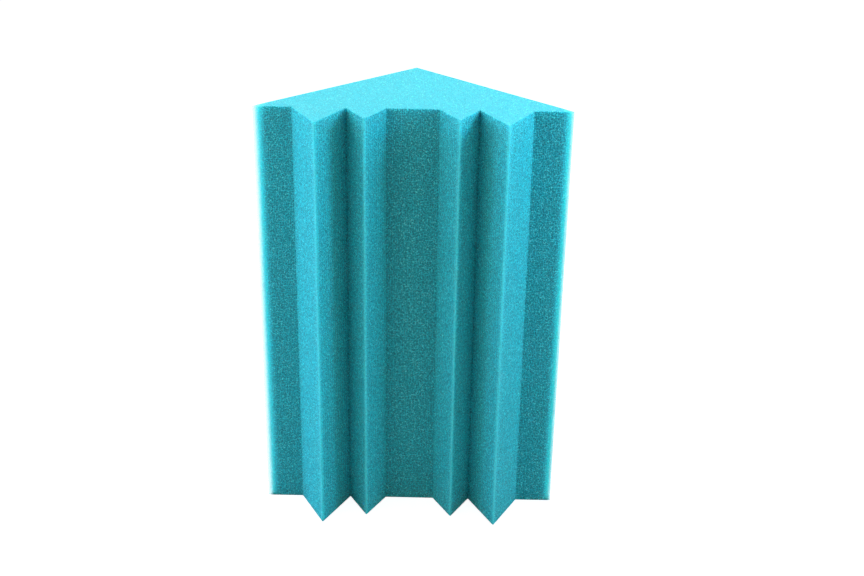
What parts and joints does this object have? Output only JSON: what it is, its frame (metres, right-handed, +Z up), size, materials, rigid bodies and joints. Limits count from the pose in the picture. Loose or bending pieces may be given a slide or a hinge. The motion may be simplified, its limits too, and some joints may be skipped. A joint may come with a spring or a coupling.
{
  "type": "corner bass trap",
  "caption": "Upright wedge of open-cell acoustic foam for a room corner, with two plain back faces and a front of V-shaped ribs and flats cut along its height.",
  "frame": {"origin": "middle of the footprint's box, on the floor under the lower cut end", "axes": "+Z up along the ribs, +Y towards the back corner between the walls, -Y is the ribbed front, +X to the right seen from the front"},
  "size_m": [0.43, 0.2824, 0.61],
  "materials": {
    "foam": "turquoise open-cell polyurethane foam, cut faces, matt"
  },
  "bodies": {
    "root": {"foam_block": "foam"}
  },
  "joints": []
}
